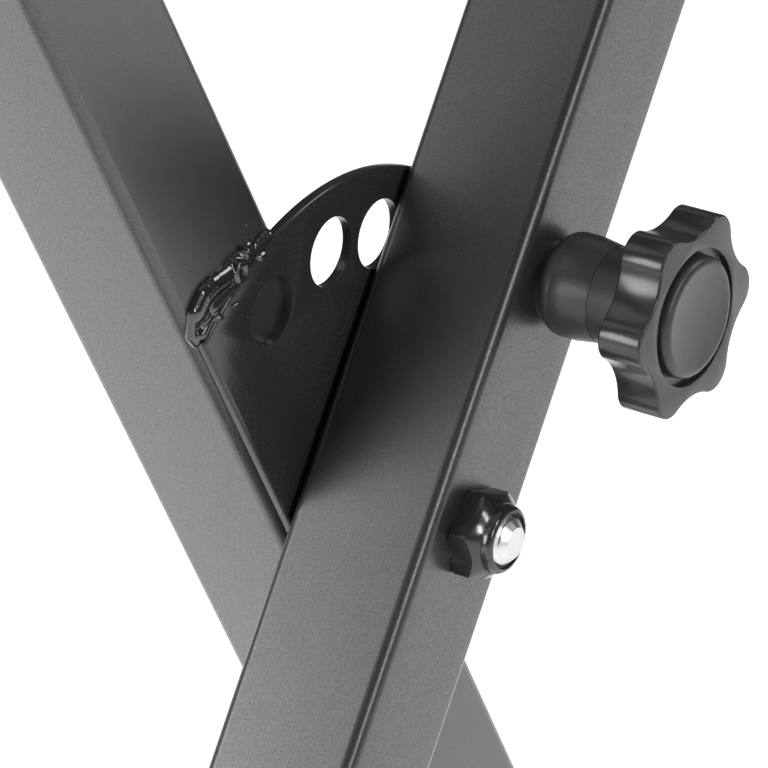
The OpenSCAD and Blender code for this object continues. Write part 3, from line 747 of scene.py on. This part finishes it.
def arc(radius, height, size, first, last, steps=6):
    """Points of an arc for an outline, with its ends in degrees from straight outwards."""
    turns = [math.radians(first + (last - first) * step / steps) for step in range(steps + 1)]
    return [(radius + size * math.cos(turn), height + size * math.sin(turn)) for turn in turns]


dome_radius = (bolt_head_radius ** 2 + bolt_dome ** 2) / (2 * bolt_dome)
dome_turn = math.degrees(math.asin(bolt_head_radius / dome_radius))
bolt_top = bolt_head_place - bolt_rim - bolt_dome
head = arc(0, bolt_top + dome_radius, dome_radius, -90, -90 + dome_turn, 14)
thread_length = bolt_end - bolt_chamfer - thread_from
thread_steps = round(thread_length / thread_step)
shank = [(bolt_radius, thread_from + thread_length * step / thread_steps)
         for step in range(thread_steps + 1)]
chamfer = [(bolt_radius - bolt_chamfer * step / chamfer_steps,
            bolt_end - bolt_chamfer + bolt_chamfer * step / chamfer_steps)
           for step in range(1, chamfer_steps + 1)]
bolt = turned("bolt", head + [(bolt_head_radius, bolt_head_place), (bolt_radius, bolt_head_place)]
              + shank + chamfer + [(0, bolt_end)])
# The thread is cut along a helix, with a flat of a tenth of its flank at crest and root
for point in bolt.data.vertices:
    radius = math.hypot(point.co.x, point.co.y)
    if point.co.z > thread_from and radius > bolt_radius - bolt_chamfer - hair:
        turn = point.co.z / thread_pitch - math.atan2(point.co.y, point.co.x) / (2 * math.pi)
        flank = abs(2 * (turn % 1) - 1)
        groove = bolt_radius - thread_depth * min(1, max(0, 1.25 * flank - 0.125))
        deepest = bolt_radius - thread_depth * min(1, (point.co.z - thread_from) / thread_pitch)
        scale = min(radius, max(groove, deepest)) / radius
        point.co.x, point.co.y = point.co.x * scale, point.co.y * scale
cut(bolt, cylinder("socket", corner_reach(bolt_socket_across), bolt_top - cut_margin,
                   bolt_top + bolt_socket_depth, 6))
smooth(bolt, 40)
settle(bolt, pivot_frame)
enlist(bolt, zinc, "front_leg", "pivot_bolt")

head_washer = flat_ring("bolt_washer", nut_bore, head_washer_radius, bolt_head_place,
                        bolt_head_place + head_washer_thickness)
soften(head_washer, head_washer_round, segments=2)
settle(head_washer, pivot_frame)
enlist(head_washer, zinc, "front_leg", "pivot_head_washer")

spacer = flat_ring("plastic_washer", nut_bore, spacer_radius, -tube_side - spacer_thickness, -tube_side)
soften(spacer, hardware_round, segments=2)
settle(spacer, pivot_frame)
nylon = Finish("nylon", IOR=1.53)
nylon_grain = nylon.noise(0.6 * millimetre, detail=3)
nylon.feed("Base Color", nylon.tint(nylon_grain, grey(0.018), grey(0.03)))
nylon.feed("Roughness", 0.4 + 0.1 * nylon_grain)
nylon.feed("Normal", nylon.bump(nylon_grain, 0.01 * millimetre))
enlist(spacer, nylon, "front_leg", "pivot_spacer_washer")

nut = hexagon("nut", nut_across, 0, nut_height, nut_turn, nut_base_turned)
crown_reach = 0.6 * nut_across
cut(nut, turned("crown", [(0, 0), (crown_reach, 0), (crown_reach, nut_crown_from),
                          (nut_crown_radius, nut_height), (0, nut_height)]), "INTERSECT")
collar_top = nut_height + collar_height
collar = turned("collar", [(0, nut_height - join_depth), (collar_radius, nut_height - join_depth)]
                + arc(collar_radius - collar_round, collar_top - collar_round, collar_round, 0, 90)
                + [(0, collar_top)])
cut(nut, collar, "UNION")
drill(nut, nut_bore, -cut_margin, collar_top + cut_margin)
drill(nut, nut_seat_radius, nut_height, nut_height + nut_seat_height)
drill(nut, nut_lip_radius, nut_height + nut_seat_height / 2, collar_top + cut_margin)
soften(nut, nut_round, degrees=20)
settle(nut, pivot_frame)
black_fastener = Finish("black_fastener", IOR=1.6)
oil = black_fastener.noise(1.2 * millimetre, detail=3)
oil_colours = (0.016, 0.016, 0.017, 1), (0.03, 0.03, 0.031, 1)
black_fastener.feed("Base Color", black_fastener.tint(oil, *oil_colours))
black_fastener.feed("Roughness", 0.12 + 0.08 * oil)
black_fastener.feed("Normal", black_fastener.bump(oil, 0.012 * millimetre))
enlist(nut, black_fastener, "front_leg", "pivot_nut")

bare_steel = Finish("bare_steel", Metallic=1)
turning = bare_steel.noise(0.5 * millimetre, detail=2)
bare_steel.feed("Base Color", bare_steel.tint(turning, grey(0.42), (0.6, 0.59, 0.58, 1)))
bare_steel.feed("Roughness", 0.28 + 0.14 * turning)
bare_steel.feed("Normal", bare_steel.bump(turning, 0.006 * millimetre))
dress(bare_steel, *hidden("rear_pivot_sleeve", "front_pivot_sleeve"))
dress(nylon, *hidden("pivot_nut_insert"))

# Lock. The pin slides in a barrel screwed into the front leg and in a bush on its rear wall,
# and a spring pushes it into the plate. A turned plastic cup stands round barrel and hub.
shroud_radius = 10.1 * millimetre
shroud_bore = 9.35 * millimetre
shroud_length = 12.3 * millimetre
shroud_edge = 0.05 * millimetre
shroud_straight = 7.4 * millimetre
shroud_floor = 1.4 * millimetre
shroud_foot_radius = 7.8 * millimetre
shroud_foot = 0.8 * millimetre
shroud_round = 3.5 * millimetre
shroud_hole = 7.03 * millimetre
barrel_flange_radius = 8.05 * millimetre
barrel_flange_top = 2.8 * millimetre
turning_rings = 13
turning_steps = 4
turning_depth = 0.035 * millimetre
lock_frame = face_frame(1, front_leg_face, lock_radius)

shroud_outline = [(shroud_hole, 0), (shroud_foot_radius, 0)]
shroud_foot_turn = -math.acos((shroud_foot_radius - shroud_radius + shroud_round) / shroud_round)
# The rounding above the cup's foot carries fine turning rings
for step in range(turning_steps * turning_rings + 1):
    turn = shroud_foot_turn * (1 - step / turning_steps / turning_rings)
    reach = shroud_round - turning_depth * (step % turning_steps > 1)
    shroud_outline.append((shroud_radius - shroud_round + reach * math.cos(turn),
                           shroud_foot + shroud_round + reach * math.sin(turn)))
shroud_outline += [(shroud_radius, shroud_straight), (shroud_bore + shroud_edge, shroud_length),
                   (shroud_bore, shroud_length), (shroud_bore, barrel_flange_top),
                   (barrel_flange_radius, barrel_flange_top),
                   (barrel_flange_radius, shroud_floor), (shroud_hole, shroud_floor), (shroud_hole, 0)]
shroud = turned("shroud", shroud_outline)
smooth(shroud, 30)
settle(shroud, lock_frame)
matt_plastic = Finish("matt_plastic", IOR=1.46, Coat_Roughness=0.4)
matt_grain = matt_plastic.noise(0.3 * millimetre, detail=3, roughness=0.6)
matt_cloud = matt_plastic.noise(6 * millimetre, detail=2)
matt_pits = matt_plastic.ramp(matt_plastic.noise(0.22 * millimetre, detail=1), (0.3, 0.0), (0.7, 0.35))
matt_plastic.feed("Base Color", matt_plastic.tint(matt_cloud, grey(0.02), grey(0.042)))
matt_plastic.feed("Roughness", 0.36 + 0.08 * matt_grain)
matt_plastic.feed("Coat Weight", matt_pits)
matt_plastic.feed("Normal", matt_plastic.bump(matt_grain, 0.012 * millimetre))
enlist(shroud, matt_plastic, "front_leg", "lock_shroud")
dress(bare_steel, *hidden("lock_barrel", "lock_barrel_nut", "lock_pin", "lock_guide_bush", "lock_spring"))

# Knob. A moulded gloss black star with six round lobes on a matt hub, screwed on the
# spindle by a brass insert, with a dished matt cap snapped into its round recess.
star_lobes = 6
star_lobe_place = 14.8 * millimetre
star_lobe_radius = 5 * millimetre
valley_floor = 16.2 * millimetre
valley_radius = 12.99 * millimetre
star_turn = 4
star_segments = 360
hub_radius = 9.32 * millimetre
hub_from = 11.2 * millimetre
hub_to = 21.4 * millimetre
star_thickness = 9.1 * millimetre
star_round = 0.45 * millimetre
recess_round = 0.2 * millimetre
hub_bore = 7.38 * millimetre
insert_bore = 4.6 * millimetre
insert_to = 28 * millimetre
recess_radius = 13.3 * millimetre
recess_depth = 1.6 * millimetre
cap_radius = 11.8 * millimetre
cap_thickness = 2.7 * millimetre
cap_rim = 1.6 * millimetre
cap_dish = 0.9 * millimetre

lobe_step = math.pi / star_lobes
valley_place = valley_floor + valley_radius
lobe_middle = Vector((0, star_lobe_place))
valley_middle = Vector((math.sin(lobe_step), math.cos(lobe_step))) * valley_place
touch = lobe_middle.lerp(valley_middle, star_lobe_radius / (star_lobe_radius + valley_radius))
touch_turn = math.atan2(touch.x, touch.y)


def star_radius(turn):
    """Distance of the star's edge from its middle, turn measured from a lobe."""
    turn = abs((turn + lobe_step) % (2 * lobe_step) - lobe_step)
    if turn < touch_turn:
        off_line = star_lobe_place * math.sin(turn)
        return star_lobe_place * math.cos(turn) + math.sqrt(star_lobe_radius ** 2 - off_line ** 2)
    off_line = valley_place * math.sin(lobe_step - turn)
    return valley_place * math.cos(lobe_step - turn) - math.sqrt(valley_radius ** 2 - off_line ** 2)


pick()
bpy.ops.mesh.primitive_circle_add(vertices=star_segments, radius=star_lobe_place, fill_type="NGON",
                                  location=(0, 0, hub_to))
star = bpy.context.object
star.name = "star"
settle(star)
for point in star.data.vertices:
    turn = math.atan2(point.co.x, point.co.y)
    reach = star_radius(turn)
    point.co.x, point.co.y = reach * math.sin(turn), reach * math.cos(turn)
edit(star, "FACE", lambda centre, normal: True)
bpy.ops.mesh.extrude_region_move(TRANSFORM_OT_translate={"value": (0, 0, star_thickness)})
bpy.ops.mesh.select_all(action="SELECT")
bpy.ops.mesh.normals_make_consistent(inside=False)
close_edit()
edit(star, "EDGE", lambda a, b: abs(a.z - b.z) < star_round)
bpy.ops.mesh.bevel(offset=star_round, segments=4, affect="EDGES")
close_edit()
star_face = hub_to + star_thickness
cut(star, turned("hub", [(0, hub_from), (hub_radius, hub_from), (hub_radius, hub_to + join_depth),
                         (0, hub_to + join_depth)]), "UNION")
drill(star, hub_bore, hub_from - cut_margin, hub_to)
drill(star, insert_bore, hub_from, insert_to)
drill(star, recess_radius, star_face - recess_depth, star_face + cut_margin)
soften(star, recess_round, degrees=40)
settle(star, lock_frame @ Matrix.Rotation(math.radians(star_turn), 4, "Z"))
gloss_plastic = Finish("gloss_plastic", IOR=1.48, Coat_Roughness=0.4)
gloss_cloud = gloss_plastic.noise(5 * millimetre, detail=3)
gloss_grain = gloss_plastic.noise(0.3 * millimetre, detail=3)
towards_leg = gloss_plastic.node("SeparateXYZ", inputs={"Vector": gloss_plastic.place()}, output="Y")
on_hub = gloss_plastic.node("Math", {"operation": "GREATER_THAN"},
                            {0: towards_leg, 1: front_leg_face - hub_to})
star_colour = gloss_plastic.tint(gloss_cloud, grey(0.02), grey(0.03))
gloss_plastic.feed("Base Color", gloss_plastic.tint(on_hub, star_colour, grey(0.03)))
gloss_plastic.feed("Coat Weight", 0.25 * on_hub)
gloss_plastic.feed("Roughness", 0.16 + 0.06 * gloss_cloud + 0.05 * gloss_grain + 0.19 * on_hub)
gloss_plastic.feed("Normal", gloss_plastic.bump(gloss_grain * (0.3 + 0.7 * on_hub), 0.014 * millimetre))
enlist(star, gloss_plastic, "lock_plunger", "knob_star")

cap_low = star_face - recess_depth
cap_flat = cap_radius - cap_rim
dish_radius = (cap_flat ** 2 + cap_dish ** 2) / (2 * cap_dish)
dish_turn = math.degrees(math.asin(cap_flat / dish_radius))
cap_disc = turned("cap_disc", [(0, cap_low), (cap_radius, cap_low)]
                  + arc(cap_flat, cap_low + cap_thickness - cap_rim, cap_rim, 0, 90)
                  + arc(0, cap_low + cap_thickness - cap_dish + dish_radius, dish_radius,
                        -90 + dish_turn, -90, 24)[1:])
smooth(cap_disc, 40)
settle(cap_disc, lock_frame)
enlist(cap_disc, matt_plastic, "lock_plunger", "knob_cap")

brass = Finish("brass", Metallic=1)
brass_cloud = brass.noise(1.5 * millimetre, detail=3)
brass.feed("Base Color", brass.tint(brass_cloud, (0.6, 0.44, 0.18, 1), (0.78, 0.6, 0.28, 1)))
brass.feed("Roughness", 0.25 + 0.12 * brass_cloud)
dress(brass, *hidden("knob_insert"))

# Studio. A wide white floor that keeps the stand's shadow, a dim room, soft lamps behind the
# left shoulder, in front, at the right and above, and the photograph's camera.
floor_radius = 12.0
floor_glow = 0.88
room_level = 0.1

pick()
bpy.ops.mesh.primitive_circle_add(vertices=128, radius=floor_radius, fill_type="NGON", location=(0, 0, 0))
floor = bpy.context.object
floor.name = "floor"
paper = Finish("white_paper", Roughness=0.9, Emission_Strength=1)
paper.feed("Base Color", grey(0.9))
paper_seen, paper_mirrored, paper_through = (
    paper.node("LightPath", output=ray) for ray in ("Is Camera Ray", "Is Glossy Ray", "Is Transmission Ray"))
# The paper's glow falls off towards the left, a painted shade that darkens what the stand mirrors on that side
paper_across = paper.node("SeparateXYZ", inputs={"Vector": paper.place()}, output="X")
painted_falloff_share = paper.ramp(0.5 + 0.5 * paper_across, (0.0, 0.75), (0.75, 1.0))
paper.feed("Emission Color", floor_glow * painted_falloff_share * (paper_seen + paper_mirrored + paper_through))
dress(paper, floor)

room = bpy.data.worlds.new("room")
bpy.context.scene.world = room
room.use_nodes = True
room_light = room.node_tree.nodes["Background"]
room_light.inputs["Color"].default_value = grey(1)
room_light.inputs["Strength"].default_value = room_level


def lamp(name, azimuth, elevation, distance, width, height, level):
    """A soft lamp that looks at the pivot. Its angles are in degrees from the front, towards the
    left and upwards, and its distance and size in metres."""
    light = bpy.data.lights.new(name, "AREA")
    light.shape, light.size, light.size_y = "RECTANGLE", width, height
    light.energy = level * math.pi * width * height
    made = bpy.data.objects.new(name, light)
    bpy.context.scene.collection.objects.link(made)
    around = Matrix.Rotation(math.radians(-azimuth), 3, "Z")
    back = around @ Matrix.Rotation(math.radians(-elevation), 3, "X") @ Vector((0, -1, 0))
    made.location = Vector((0, 0, pivot_height)) + back * distance
    made.rotation_euler = back.to_track_quat("Z", "Y").to_euler()


lamp("shoulder_lamp", 126, 12, 2.0, 1.6, 0.8, 9.2)
lamp("shoulder_top_lamp", 126, 50, 2.0, 1.6, 0.8, 1.1)
lamp("shoulder_near_lamp", 126, 22, 1.2, 0.7, 0.5, 1.35)
lamp("front_lamp", 10, 30, 2.5, 1.2, 1.2, 0.6)
lamp("front_strip", 24, 20, 2.5, 0.2, 0.7, 30)
lamp("front_high_strip", 2, 38, 2.5, 0.3, 0.8, 16)
lamp("right_lamp", -52, 38, 2.0, 0.6, 0.6, 6.5)
lamp("top_lamp", 0, 90, 2.0, 1.5, 1.5, 0.4)

view_azimuth = math.radians(-57.03)
view_elevation = math.radians(23.32)
view_roll = math.radians(-1.667)
view_distance = 1381 * millimetre
view_right, view_up = -10.985 * millimetre, -19.406 * millimetre
view_target = Vector((0, rear_leg_face, pivot_height))
back = Vector((math.sin(view_azimuth) * math.cos(view_elevation),
               -math.cos(view_azimuth) * math.cos(view_elevation), math.sin(view_elevation)))
right = Vector((math.cos(view_azimuth), math.sin(view_azimuth), 0))
up = back.cross(right)
camera_turn = Matrix((right, up, back)).transposed() @ Matrix.Rotation(-view_roll, 3, "Z")
camera = bpy.data.objects.new("camera", bpy.data.cameras.new("camera"))
bpy.context.scene.collection.objects.link(camera)
camera.data.lens, camera.data.sensor_width = 342, 36
camera.matrix_world = Matrix.Translation(
    view_target + camera_turn @ Vector((-view_right, -view_up, view_distance))) @ camera_turn.to_4x4()
bpy.context.scene.camera = camera
bpy.context.scene.view_settings.view_transform = "Standard"
